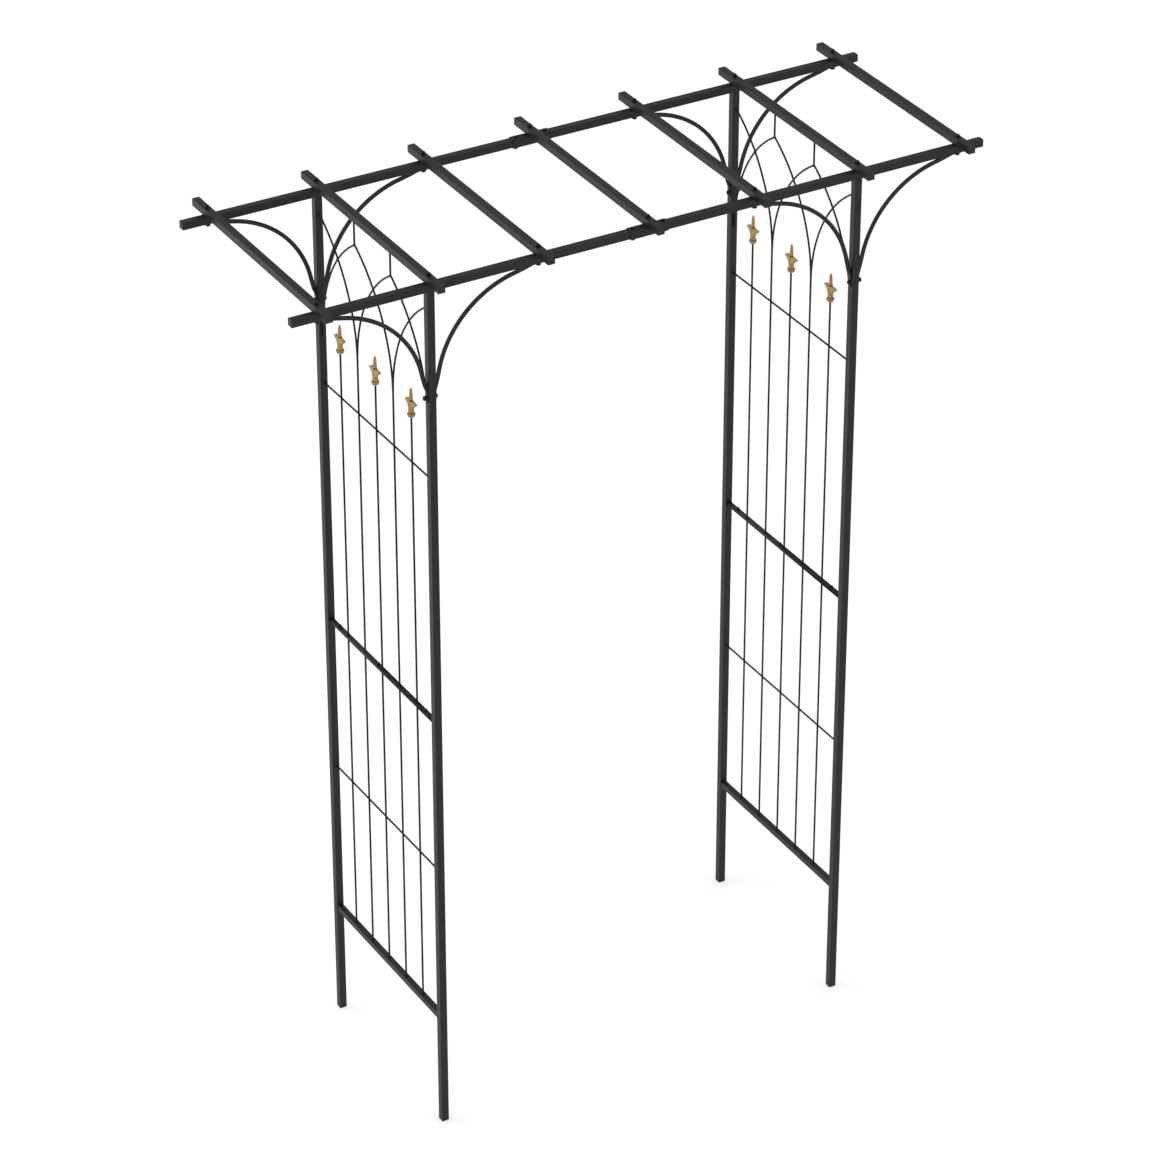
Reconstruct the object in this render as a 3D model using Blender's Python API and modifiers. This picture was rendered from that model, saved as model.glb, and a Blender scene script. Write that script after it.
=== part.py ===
"""Rose arch: a flat-topped garden arch of square steel tube.

Two side panels of upright wires with interlaced pointed arches and gold spear finials carry two long beams,
seven cross rafters and eight quarter-round braces. Metres, +Z up; X runs along the beams, Y through the arch.
The origin is on the ground at the middle of the plan.
"""
import math

import bmesh
import bpy
from mathutils import Matrix, Vector

# Overall sizes
POST_SPACING_X = 1.140      # post axis to post axis, along the beams
POST_SPACING_Y = 0.550      # post axis to post axis, through the arch
POST_HEIGHT = 2.325
TUBE = 0.019                # square tube of the posts, beams and rafters
BEAM_TAIL = 0.068           # beam end beyond the outer rafter's axis
RAFTER_OVERHANG = 0.052     # rafter end beyond the beam's outer face
GAP = 0.0003                # clearance left between touching pieces
TUBE_EDGE = 0.0015          # rounding of the tube's corners
WELD_DISTANCE = 0.00001     # vertices nearer than this are one

# Braces
BRACE_BOLT = 0.2725         # bolt distance from the post's face, and from the beam's underside
BRACE_SETBACK = 0.0205      # arc centre, short of the bolt
BRACE_STANDOFF = 0.011      # nearest that the bar's centre line comes to the post and the beam
BRACE_DEPTH = 0.010         # bar, measured across the curve
BRACE_WIDTH = 0.005         # bar, measured along Y
TAB_THICKNESS = 0.0025      # flattened ends
TAB_WIDTH = 0.012
TAB_HALF = 0.0125           # half the flattened length, centred on the bolt
ARC_MARGIN = math.radians(9)
ARC_STEPS = 16

# Beam sleeves
SLEEVE_LENGTH = 0.102
SLEEVE_WALL = 0.0018

# Side panels
BOTTOM_RAIL = 0.016         # square bar
BOTTOM_RAIL_Z = 0.3135      # its centre line
LOW_WIRE_RISE = 0.4287      # low cross wire above the bottom rail's centre line
MID_RAIL_DROP = 1.1545      # joint between the middle rail's two stacked bars, below the post's top
HIGH_WIRE_DROP = 0.495      # high cross wire below the post's top
MID_BAR_WIDTH = 0.012
MID_BAR_HEIGHT = 0.0044
WIRE = 0.005
WELD_SINK = 0.002           # how far a cross wire is sunk into the uprights that it is welded to
ARCH_OFFSET = 0.0008        # arches leaning one way pass this far in front of the panel's middle
BAYS = 6                    # equal gaps between the posts, with a wire at each division
ARCH_PEAK_DROP = 0.047      # peak of every arch below the post's top
ARCH_RADIUS = 0.375
ARCH_STEPS = 12

# Finials
FINIAL_BASE_DROP = 0.370    # underside of the finials below the post's top
FINIAL_STEPS = 20
FINIAL_PROFILE = [          # radius and height, tip first
    (0.0, 0.0750), (0.0011, 0.0740), (0.0020, 0.0722), (0.0029, 0.0692), (0.0035, 0.0655),
    (0.0039, 0.0600), (0.0042, 0.0520), (0.0045, 0.0440), (0.0058, 0.0395), (0.0070, 0.0350),
    (0.0074, 0.0280), (0.0074, 0.0090), (0.0080, 0.0084), (0.0097, 0.0076), (0.0097, 0.0056),
    (0.0084, 0.0046), (0.0083, 0.0022), (0.0074, 0.0), (0.0, 0.0)]
PETAL_OUTLINE = [           # reach and height of one side petal, from its underside to its top
    (0.0, 0.0205), (0.0078, 0.0205), (0.0238, 0.0373), (0.0250, 0.0392), (0.0238, 0.0412),
    (0.0130, 0.0422), (0.0, 0.0422)]
PETAL_WIDTH = 0.0094

POST_X = POST_SPACING_X / 2
POST_Y = POST_SPACING_Y / 2
HALF_TUBE = TUBE / 2
BEAM_BOTTOM = POST_HEIGHT + GAP
BEAM_TOP = BEAM_BOTTOM + TUBE
RAFTER_BOTTOM = BEAM_TOP + GAP
RAFTER_LENGTH = 2 * (POST_Y + HALF_TUBE + RAFTER_OVERHANG)
BRACE_REACH = HALF_TUBE + BRACE_BOLT
BRACE_CENTRE = BRACE_BOLT - BRACE_SETBACK
BRACE_RADIUS = BRACE_CENTRE - BRACE_STANDOFF
BEAM_END = POST_X + BRACE_REACH + BEAM_TAIL
LOW_WIRE_Z = BOTTOM_RAIL_Z + LOW_WIRE_RISE
MID_RAIL_Z = POST_HEIGHT - MID_RAIL_DROP
HIGH_WIRE_Z = POST_HEIGHT - HIGH_WIRE_DROP
ARCH_PEAK_Z = POST_HEIGHT - ARCH_PEAK_DROP
FINIAL_BASE_Z = POST_HEIGHT - FINIAL_BASE_DROP
PANEL_HALF = POST_Y - HALF_TUBE - GAP
WIRE_PITCH = 2 * (POST_Y - HALF_TUBE) / BAYS

SIDES = {"left": -1, "right": 1}
DEPTHS = {"back": 1, "front": -1}


def clear_scene():
    for obj in list(bpy.data.objects):
        bpy.data.objects.remove(obj, do_unlink=True)


def new_collection(name, parent=None):
    collection = bpy.data.collections.new(name)
    (parent or bpy.context.scene.collection).children.link(collection)
    return collection


def new_material(name, color, roughness, metallic):
    material = bpy.data.materials.new(name)
    material.use_nodes = True
    shader = material.node_tree.nodes["Principled BSDF"]
    shader.inputs["Base Color"].default_value = (*color, 1.0)
    shader.inputs["Roughness"].default_value = roughness
    shader.inputs["Metallic"].default_value = metallic
    return material


def link(obj, collection, material=None):
    collection.objects.link(obj)
    if material:
        obj.data.materials.append(material)
    return obj


def box_mesh(name, size):
    """A closed box of the given size about the origin."""
    bm = bmesh.new()
    bmesh.ops.create_cube(bm, size=1.0, matrix=Matrix.Diagonal((*size, 1.0)))
    mesh = bpy.data.meshes.new(name)
    bm.to_mesh(mesh)
    bm.free()
    return mesh


def bar(name, size, centre, collection, material, edge):
    """A straight bar with rounded corners."""
    obj = link(bpy.data.objects.new(name, box_mesh(name, size)), collection, material)
    obj.location = centre
    bevel = obj.modifiers.new("edges", "BEVEL")
    bevel.width = edge
    bevel.segments = 2
    bevel.limit_method = "ANGLE"
    return obj


def as_guide(obj):
    """Hide a cutter or a piece that is only there to be joined to another."""
    obj.hide_render = True
    obj.display_type = "WIRE"
    return obj


def wire_object(name, points, radii, collection, depth, resolution=1):
    """A closed mesh rod along a path, with a radius factor at each point."""
    curve = bpy.data.curves.new(name, "CURVE")
    curve.dimensions = "3D"
    curve.bevel_depth = depth
    curve.bevel_resolution = resolution
    curve.use_fill_caps = True
    spline = curve.splines.new("POLY")
    spline.points.add(len(points) - 1)
    for point, place, radius in zip(spline.points, points, radii):
        point.co = (*place, 1.0)
        point.radius = radius
    rod = link(bpy.data.objects.new(name, curve), collection)
    bpy.context.view_layer.update()
    evaluated = rod.evaluated_get(bpy.context.evaluated_depsgraph_get())
    mesh = bpy.data.meshes.new_from_object(evaluated)
    bpy.data.objects.remove(rod, do_unlink=True)
    bpy.data.curves.remove(curve)
    bm = bmesh.new()
    bm.from_mesh(mesh)
    bmesh.ops.remove_doubles(bm, verts=bm.verts, dist=WELD_DISTANCE)
    bm.to_mesh(mesh)
    bm.free()
    mesh.name = name
    return link(bpy.data.objects.new(name, mesh), collection)


def joined_mesh(name, base, others):
    """The union of a base object and the others, as one mesh."""
    for other in others:
        union = base.modifiers.new("join", "BOOLEAN")
        union.operation = "UNION"
        union.solver = "EXACT"
        union.object = as_guide(other)
    bpy.context.view_layer.update()
    evaluated = base.evaluated_get(bpy.context.evaluated_depsgraph_get())
    mesh = bpy.data.meshes.new_from_object(evaluated)
    mesh.name = name
    for obj in [base, *others]:
        bpy.data.objects.remove(obj, do_unlink=True)
    return mesh


def build_posts(parts, steel):
    for side, sx in SIDES.items():
        for depth, sy in DEPTHS.items():
            centre = (sx * POST_X, sy * POST_Y, POST_HEIGHT / 2)
            bar(f"post_{side}_{depth}", (TUBE, TUBE, POST_HEIGHT), centre, parts, steel, TUBE_EDGE)


def build_beams(parts, cutters, steel):
    length = BEAM_END - GAP / 2
    z = BEAM_BOTTOM + HALF_TUBE
    bore = TUBE + 2 * GAP
    outer = bore + 2 * SLEEVE_WALL
    for depth, sy in DEPTHS.items():
        for side, sx in SIDES.items():
            centre = (sx * (GAP / 2 + length / 2), sy * POST_Y, z)
            bar(f"beam_{depth}_{side}", (length, TUBE, TUBE), centre, parts, steel, TUBE_EDGE)
        sleeve = bar(f"beam_sleeve_{depth}", (SLEEVE_LENGTH, outer, outer), (0, sy * POST_Y, z), parts, steel,
                     TUBE_EDGE)
        hole = box_mesh(f"sleeve_bore_{depth}", (SLEEVE_LENGTH * 2, bore, bore))
        cutter = as_guide(link(bpy.data.objects.new(hole.name, hole), cutters))
        cutter.location = sleeve.location
        cut = sleeve.modifiers.new("bore", "BOOLEAN")
        cut.operation = "DIFFERENCE"
        cut.solver = "EXACT"
        cut.object = cutter


def rafter_places():
    """X of each rafter: over the sleeves, over the side panels, and over each brace's outer end."""
    offsets = [0.0]
    for sx in SIDES.values():
        offsets += [sx * (POST_X + step * BRACE_REACH) for step in (-1, 0, 1)]
    return sorted(offsets)


def build_rafters(parts, steel):
    for number, x in enumerate(rafter_places(), start=1):
        lift = SLEEVE_WALL + GAP if abs(x) < SLEEVE_LENGTH / 2 else 0.0
        centre = (x, 0, RAFTER_BOTTOM + lift + HALF_TUBE)
        bar(f"rafter_{number}", (TUBE, RAFTER_LENGTH, TUBE), centre, parts, steel, TUBE_EDGE)


def brace_stations():
    """Points of the brace's centre line with its direction, depth across the curve and width along Y.

    Both coordinates are measured from the corner: away from the post's face, and down from the beam.
    """
    tab_line = GAP + TAB_THICKNESS / 2
    stations = []
    for across in (BRACE_BOLT + TAB_HALF, BRACE_BOLT - TAB_HALF):
        stations.append((Vector((tab_line, across)), Vector((0, -1)), TAB_THICKNESS, TAB_WIDTH))
    for step in range(ARC_STEPS + 1):
        angle = ARC_MARGIN + (math.pi / 2 - 2 * ARC_MARGIN) * step / ARC_STEPS
        radial = Vector((-math.cos(angle), -math.sin(angle)))
        place = Vector((BRACE_CENTRE, BRACE_CENTRE)) + BRACE_RADIUS * radial
        along = Vector((math.sin(angle), -math.cos(angle)))
        stations.append((place, along, BRACE_DEPTH, BRACE_WIDTH))
    for away in (BRACE_BOLT - TAB_HALF, BRACE_BOLT + TAB_HALF):
        stations.append((Vector((away, tab_line)), Vector((1, 0)), TAB_THICKNESS, TAB_WIDTH))
    return stations


def brace_mesh():
    """A flat bar curved on edge, with its ends flattened the other way into bolted tabs."""
    bm = bmesh.new()
    rings = []
    for place, along, depth, width in brace_stations():
        across = Vector((along.y, -along.x)) * depth / 2
        ring = []
        for side, y in ((1, 1), (1, -1), (-1, -1), (-1, 1)):
            corner = place + side * across
            ring.append(bm.verts.new((HALF_TUBE + corner.x, y * width / 2, -corner.y)))
        rings.append(ring)
    for first, second in zip(rings, rings[1:]):
        for i in range(4):
            bm.faces.new((first[i], first[i - 1], second[i - 1], second[i]))
    bm.faces.new(rings[0])
    bm.faces.new(reversed(rings[-1]))
    bmesh.ops.recalc_face_normals(bm, faces=bm.faces)
    mesh = bpy.data.meshes.new("brace")
    bm.to_mesh(mesh)
    bm.free()
    return mesh


def build_braces(parts, steel):
    mesh = brace_mesh()
    mesh.materials.append(steel)
    for side, sx in SIDES.items():
        for depth, sy in DEPTHS.items():
            for way, outward in (("outer", 1), ("inner", -1)):
                brace = link(bpy.data.objects.new(f"brace_{side}_{depth}_{way}", mesh), parts)
                brace.location = (sx * POST_X, sy * POST_Y, BEAM_BOTTOM)
                brace.rotation_euler.z = 0.0 if sx * outward > 0 else math.pi


def upright(y, low, high, collection):
    return wire_object("upright", [(0, y, low), (0, y, high)], (1, 1), collection, WIRE / 2)


def cross_wire(z, collection):
    ends = [(WIRE - WELD_SINK, way * PANEL_HALF, z) for way in (-1, 1)]
    return wire_object("cross_wire", ends, (1, 1), collection, WIRE / 2)


def arch_rod(start, end, collection):
    """An arc that leaves its springing point upright and reaches the common peak height over `end`."""
    span = abs(end - start)
    rise = math.sqrt(2 * ARCH_RADIUS * span - span ** 2)
    last_angle = math.acos(1 - span / ARCH_RADIUS)
    way = math.copysign(1, end - start)
    points = []
    for step in range(ARCH_STEPS + 1):
        angle = last_angle * step / ARCH_STEPS
        y = start + way * ARCH_RADIUS * (1 - math.cos(angle))
        points.append((way * ARCH_OFFSET, y, ARCH_PEAK_Z - rise + ARCH_RADIUS * math.sin(angle)))
    return wire_object("arch", points, [1] * len(points), collection, WIRE / 2)


def tracery(collection):
    """Interlaced arches: springing at the posts and at the second and fourth wires."""
    at_post = PANEL_HALF - WIRE / 2
    rods = []
    for way in (1, -1):
        at_wire = way * WIRE_PITCH
        rods.append(arch_rod(way * at_post, at_wire, collection))
        rods.append(arch_rod(-at_wire, at_wire, collection))
        rods.append(arch_rod(at_wire, way * at_post, collection))
        rods.append(upright(at_wire, ARCH_PEAK_Z - WIRE / 2, RAFTER_BOTTOM - GAP, collection))
    return rods


def build_panels(parts, cutters, steel):
    rail_top = BOTTOM_RAIL_Z + BOTTOM_RAIL / 2
    bar_size = (MID_BAR_WIDTH, 2 * PANEL_HALF, MID_BAR_HEIGHT)
    lower_bar_z = MID_RAIL_Z - GAP / 2 - MID_BAR_HEIGHT / 2
    upper_bar_z = MID_RAIL_Z + GAP / 2 + MID_BAR_HEIGHT / 2
    divisions = [step * WIRE_PITCH for step in range(-2, 3)]
    arch_span = 2 * WIRE_PITCH
    spring_z = ARCH_PEAK_Z - math.sqrt(2 * ARCH_RADIUS * arch_span - arch_span ** 2)

    lower_bar = link(bpy.data.objects.new("lower_bar", box_mesh("lower_bar", bar_size)), cutters)
    lower_bar.location.z = lower_bar_z
    rods = [upright(y, rail_top + GAP, lower_bar_z, cutters) for y in divisions]
    rods.append(cross_wire(LOW_WIRE_Z, cutters))
    lower = joined_mesh("panel_lower_wires", lower_bar, rods)

    upper_bar = link(bpy.data.objects.new("upper_bar", box_mesh("upper_bar", bar_size)), cutters)
    upper_bar.location.z = upper_bar_z
    rods = []
    for number, y in enumerate(divisions, start=1):
        top = FINIAL_BASE_Z - GAP if number % 2 else spring_z + WIRE
        rods.append(upright(y, upper_bar_z, top, cutters))
    rods.append(cross_wire(HIGH_WIRE_Z, cutters))
    upper = joined_mesh("panel_upper_wires", upper_bar, rods + tracery(cutters))

    for side, sx in SIDES.items():
        rail_size = (BOTTOM_RAIL, 2 * PANEL_HALF, BOTTOM_RAIL)
        bar(f"bottom_rail_{side}", rail_size, (sx * POST_X, 0, BOTTOM_RAIL_Z), parts, steel, TUBE_EDGE)
        for level, mesh, bar_z in (("lower", lower, lower_bar_z), ("upper", upper, upper_bar_z)):
            panel = link(bpy.data.objects.new(f"wire_panel_{level}_{side}", mesh.copy()), parts)
            panel.data.materials.clear()
            panel.data.materials.append(steel)
            panel.location = (sx * POST_X, 0, bar_z)


def petal_plate(collection):
    """The two side petals in one piece, flaring to the front and to the back."""
    outline = PETAL_OUTLINE + [(-reach, z) for reach, z in reversed(PETAL_OUTLINE[1:-1])]
    bm = bmesh.new()
    face = bm.faces.new([bm.verts.new((-PETAL_WIDTH / 2, reach, z)) for reach, z in outline])
    grown = bmesh.ops.extrude_face_region(bm, geom=[face])["geom"]
    moved = [item for item in grown if isinstance(item, bmesh.types.BMVert)]
    bmesh.ops.translate(bm, vec=(PETAL_WIDTH, 0, 0), verts=moved)
    bmesh.ops.recalc_face_normals(bm, faces=bm.faces)
    mesh = bpy.data.meshes.new("petals")
    bm.to_mesh(mesh)
    bm.free()
    return link(bpy.data.objects.new("petals", mesh), collection)


def finial_mesh(cutters):
    profile = bpy.data.meshes.new("finial_body")
    bm = bmesh.new()
    verts = [bm.verts.new((radius, 0, z)) for radius, z in FINIAL_PROFILE]
    for pair in zip(verts, verts[1:]):
        bm.edges.new(pair)
    bm.to_mesh(profile)
    bm.free()
    body = link(bpy.data.objects.new("finial_body", profile), cutters)
    turn = body.modifiers.new("turn", "SCREW")
    turn.steps = turn.render_steps = FINIAL_STEPS
    turn.use_merge_vertices = True
    turn.merge_threshold = WELD_DISTANCE
    return joined_mesh("finial", body, [petal_plate(cutters)])


def build_finials(parts, cutters, gold):
    mesh = finial_mesh(cutters)
    mesh.materials.clear()
    mesh.materials.append(gold)
    for side, sx in SIDES.items():
        for place, step in (("back", 2), ("middle", 0), ("front", -2)):
            finial = link(bpy.data.objects.new(f"finial_{side}_{place}", mesh), parts)
            finial.location = (sx * POST_X, step * WIRE_PITCH, FINIAL_BASE_Z)


def main():
    clear_scene()
    parts = new_collection("rose_arch")
    cutters = new_collection("cutters")
    steel = new_material("black_powder_coat", (0.022, 0.022, 0.022), 0.45, 0.0)
    gold = new_material("gold_paint", (0.43, 0.26, 0.085), 0.38, 0.9)
    build_posts(parts, steel)
    build_beams(parts, cutters, steel)
    build_rafters(parts, steel)
    build_braces(parts, steel)
    build_panels(parts, cutters, steel)
    build_finials(parts, cutters, gold)


main()
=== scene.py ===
"""Looks of a rose arch: square tube frame, curved braces, wire side panels and cast gold finials."""
import math

import bmesh
import bpy
from bpy.props import FloatProperty, FloatVectorProperty, IntProperty, PointerProperty
from mathutils import Matrix, Vector


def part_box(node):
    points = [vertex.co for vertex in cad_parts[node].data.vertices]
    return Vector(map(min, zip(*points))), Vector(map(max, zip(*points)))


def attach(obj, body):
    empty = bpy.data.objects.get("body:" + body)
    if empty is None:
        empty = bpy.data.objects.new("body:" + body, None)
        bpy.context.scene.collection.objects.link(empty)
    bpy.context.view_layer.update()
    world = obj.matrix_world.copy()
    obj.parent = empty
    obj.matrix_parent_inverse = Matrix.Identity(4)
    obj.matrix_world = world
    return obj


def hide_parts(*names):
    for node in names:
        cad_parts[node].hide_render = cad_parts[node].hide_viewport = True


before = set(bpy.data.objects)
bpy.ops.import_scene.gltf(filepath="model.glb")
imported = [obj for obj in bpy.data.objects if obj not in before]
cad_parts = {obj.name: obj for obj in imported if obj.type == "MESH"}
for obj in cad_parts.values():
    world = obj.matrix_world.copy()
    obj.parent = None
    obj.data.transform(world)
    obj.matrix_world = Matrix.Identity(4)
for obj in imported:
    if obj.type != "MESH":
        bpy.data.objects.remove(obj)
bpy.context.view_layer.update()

bl_info = {"name": "Rose Arch Looks", "version": (1, 0, 0), "blender": (4, 5, 0),
    "location": "3D View > Sidebar > Rose Arch",
    "description": "Builds the finished pieces, materials and studio of a rose arch round its frame",
    "category": "Object"}

BODY = "root"
PIECES = "rose_arch_pieces"
CLEARANCE = 0.0003    # between two pieces that lie on each other


# ---------------------------------------------------------------- sizes read from the frame

def node_names(prefix):
    return sorted(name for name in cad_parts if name.startswith(prefix))


def box_of(name):
    low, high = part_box(name)
    return Vector(low), Vector(high)


def middle_of(name):
    low, high = box_of(name)
    return (low + high) / 2


POSTS = node_names("post_")
BEAMS = [name for name in node_names("beam_") if "sleeve" not in name]
SLEEVES = node_names("beam_sleeve_")
RAFTERS = node_names("rafter_")
BRACES = node_names("brace_")
BOTTOM_RAILS = node_names("bottom_rail_")
FINIALS = node_names("finial_")

POST_SIDE = (box_of(POSTS[0])[1] - box_of(POSTS[0])[0]).x
POST_TOP = box_of(POSTS[0])[1].z


# ---------------------------------------------------------------- settings

def length(name, text, default, low, high):
    return FloatProperty(name=name, description=text, default=default, min=low, max=high, unit="LENGTH")


def portion(name, text, default, low, high):
    return FloatProperty(name=name, description=text, default=default, min=low, max=high, subtype="FACTOR")


def whole(name, text, default, low, high):
    return IntProperty(name=name, description=text, default=default, min=low, max=high)


def paint(name, text, default):
    return FloatVectorProperty(name=name, description=text, size=4, subtype="COLOR", default=default,
        min=0.0, max=1.0)


class TubeSettings(bpy.types.PropertyGroup):
    corner_radius: length("Corner Radius", "Rounding of the long corners of the square tube", 0.0010,
        0.0005, 0.005)
    sleeve_wall: length("Sleeve Wall", "Wall of the sleeve that joins two beam halves", 0.0017, 0.0008,
        0.003)
    plug_thickness: length("Plug Thickness", "Flange of the plug that closes a tube's end", 0.0010, 0.0005,
        0.004)
    plug_margin: length("Plug Margin", "How far the plug's flange stays inside the tube's outline", 0.00025,
        0.0, 0.002)


class BraceSettings(bpy.types.PropertyGroup):
    depth: length("Depth", "Bar measured across its curve", 0.010, 0.004, 0.02)
    width: length("Width", "Bar measured through the arch", 0.005, 0.002, 0.012)
    edge: length("Edge", "Rounding of the bar's corners", 0.0009, 0.0002, 0.0024)
    tab_thickness: length("Tab Thickness", "Thickness of the flattened ends", 0.0024, 0.001, 0.004)
    tab_width: length("Tab Width", "Width of the flattened ends", 0.012, 0.006, 0.018)
    bolt_distance: length("Bolt Distance", "Bolt from the corner of post and beam", 0.2725, 0.1, 0.5)
    setback: length("Arc Setback", "Centre of the arc, short of the bolt", 0.012, 0.0, 0.1)
    standoff: length("Standoff", "Nearest that the bar's middle comes to the post", 0.0075, 0.005, 0.05)


class WireSettings(bpy.types.PropertyGroup):
    diameter: length("Diameter", "Round wire of the side panels", 0.0049, 0.002, 0.01)
    sides: whole("Sides", "Faces round one wire", 14, 6, 32)
    bays: whole("Bays", "Equal gaps between a front and a back post", 6, 4, 12)
    bar_height: length("Bar Height", "One of the two bars of the middle rail", 0.0044, 0.002, 0.01)
    low_wire_rise: length("Low Cross Wire", "Above the middle of the bottom rail", 0.4287, 0.1, 0.8)
    high_wire_drop: length("High Cross Wire", "Below the top of the posts", 0.495, 0.1, 1.0)
    peak_drop: length("Arch Peak", "Peak of the arches below the top of the posts", 0.047, 0.01, 0.3)
    arch_radius: length("Arch Radius", "Radius of every interlaced arch", 0.375, 0.2, 1.0)
    weave: length("Weave", "How far crossing arches pass in front of each other", 0.0016, 0.0, 0.004)
    weld_sink: length("Weld Sink", "How far a cross wire is sunk into an upright", 0.0022, 0.0, 0.004)
    bead: length("Weld Bead", "Radius of one weld bead", 0.0034, 0.001, 0.008)


class HardwareSettings(bpy.types.PropertyGroup):
    head_width: length("Head Width", "Frame bolt's hexagon across its flats", 0.0086, 0.004, 0.02)
    head_height: length("Head Height", "Frame bolt's head", 0.0056, 0.001, 0.01)
    nut_width: length("Nut Width", "Frame nut's hexagon across its flats", 0.0112, 0.004, 0.02)
    nut_height: length("Nut Height", "Nut under a frame bolt", 0.0042, 0.001, 0.01)
    washer_radius: length("Washer Radius", "Washer under heads and nuts", 0.0054, 0.002, 0.01)
    washer_thickness: length("Washer Thickness", "Washer under heads and nuts", 0.0008, 0.0002, 0.003)
    low_head_share: portion("Low Head", "Height of a sleeve's bolt head against the others", 0.45, 0.2, 1.0)
    post_bolt_scale: portion("Post Bolt Scale", "Post bolts' heads against frame bolts", 1.15, 0.6, 2.0)
    rail_bolt_scale: portion("Rail Bolt Scale", "Middle rail bolts against frame bolts", 0.8, 0.4, 1.0)
    sleeve_bolt_offset: length("Sleeve Bolt", "Sleeve bolt from the middle of the beam", 0.040, 0.01, 0.1)


class FinialSettings(bpy.types.PropertyGroup):
    voxel: length("Cast Detail", "Smallest feature kept when the petals are blended", 0.00055, 0.0003,
        0.002)
    petal_width: length("Petal Width", "Width of a side petal at its broadest", 0.0098, 0.003, 0.015)
    flutes: whole("Flutes", "Hollows round the sheath", 8, 0, 24)


class CoatSettings(bpy.types.PropertyGroup):
    black: paint("Coat", "Black powder coat", (0.0014, 0.0014, 0.0014, 1.0))
    black_thin: paint("Thin Coat", "Powder coat where it is thin", (0.0105, 0.0105, 0.0103, 1.0))
    plastic: paint("Plug Plastic", "Moulded end plugs", (0.0030, 0.0030, 0.0031, 1.0))
    gold: paint("Gold", "Antique gold of the finials", (0.34, 0.218, 0.078, 1.0))
    patina: paint("Patina", "Brown in the hollows of the finials", (0.11, 0.048, 0.012, 1.0))


class StageSettings(bpy.types.PropertyGroup):
    azimuth: FloatProperty(name="Azimuth", description="Camera round the arch, 0 looking along +Y",
        default=math.radians(-29.892), subtype="ANGLE")
    elevation: FloatProperty(name="Elevation", description="Camera above the horizon",
        default=math.radians(31.045), subtype="ANGLE")
    distance: FloatProperty(name="Distance", description="Camera from the point that it looks at",
        default=11.85, min=1.0, unit="LENGTH")
    lens: FloatProperty(name="Lens", description="Focal length in millimetres", default=150.47, min=10.0)
    aim: FloatVectorProperty(name="Aim", description="Point that the camera looks at", size=3,
        subtype="TRANSLATION", default=(-0.0306, -0.0169, 1.2699))
    wall_glow: FloatProperty(name="Wall Glow", description="Brightness of the studio at the horizon",
        default=1.0, min=0.0)
    ceiling_glow: FloatProperty(name="Ceiling Glow", description="Brightness of the studio overhead",
        default=0.24, min=0.0)
    overhead: FloatProperty(name="Overhead Light", description="Strength of the broad overhead light",
        default=2.40, min=0.0)
    side: FloatProperty(name="Side Light", description="Power of the softbox behind the left side, in watts",
        default=75.0, min=0.0)


SETTINGS = {"arch_tubes": TubeSettings, "arch_braces": BraceSettings, "arch_wires": WireSettings,
    "arch_hardware": HardwareSettings, "arch_finials": FinialSettings, "arch_coats": CoatSettings,
    "arch_stage": StageSettings}


# ---------------------------------------------------------------- mesh helpers

def pieces_collection():
    collection = bpy.data.collections.get(PIECES)
    if collection is None:
        collection = bpy.data.collections.new(PIECES)
        bpy.context.scene.collection.children.link(collection)
    return collection


def add_piece(name, mesh, material, replaced=(), sharp=35.0):
    """A finished piece at the origin that rides with the arch."""
    mesh.name = name
    piece = bpy.data.objects.new(name, mesh)
    pieces_collection().objects.link(piece)
    mesh.materials.clear()
    mesh.materials.append(material)
    mesh.shade_smooth()
    mesh.set_sharp_from_angle(angle=math.radians(sharp))
    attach(piece, BODY)
    if replaced:
        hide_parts(*replaced)
    return piece


def mesh_from(bm, name):
    bmesh.ops.recalc_face_normals(bm, faces=bm.faces)
    mesh = bpy.data.meshes.new(name)
    bm.to_mesh(mesh)
    bm.free()
    return mesh


def rounded_outline(width, height, radius, steps=4):
    """Corners of a rounded rectangle, with a supporting point beside each so that the flats stay flat."""
    support = radius * 0.2
    outline = []
    corners = ((1, 1, 0), (-1, 1, 1), (-1, -1, 2), (1, -1, 3))
    for sx, sy, quarter in corners:
        centre = Vector((sx * (width / 2 - radius), sy * (height / 2 - radius)))
        start = quarter * math.pi / 2
        first = Vector((math.cos(start), math.sin(start)))
        last = Vector((math.cos(start + math.pi / 2), math.sin(start + math.pi / 2)))
        outline.append(centre + radius * first - support * last)
        for step in range(steps + 1):
            angle = start + math.pi / 2 * step / steps
            outline.append(centre + radius * Vector((math.cos(angle), math.sin(angle))))
        outline.append(centre + radius * last - support * first)
    return outline


def add_ring(bm, points):
    return [bm.verts.new(point) for point in points]


def bridge(bm, first, second):
    count = len(first)
    for i in range(count):
        bm.faces.new((first[i], first[(i + 1) % count], second[(i + 1) % count], second[i]))


def loft(bm, rings, capped=True):
    """Skins a run of equal rings, with a flat face at each end."""
    made = [add_ring(bm, ring) for ring in rings]
    for first, second in zip(made, made[1:]):
        bridge(bm, first, second)
    if capped:
        bm.faces.new(list(reversed(made[0])))
        bm.faces.new(made[-1])
    return made


def along_axis(outline, axis, centre, distance):
    """An outline laid across one axis (0 X, 1 Y, 2 Z) at a distance along it."""
    ring = []
    for u, v in outline:
        point = [0.0, 0.0, 0.0]
        point[axis] = distance
        point[(axis + 1) % 3] = centre[(axis + 1) % 3] + u
        point[(axis + 2) % 3] = centre[(axis + 2) % 3] + v
        ring.append(point)
    return ring


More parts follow.
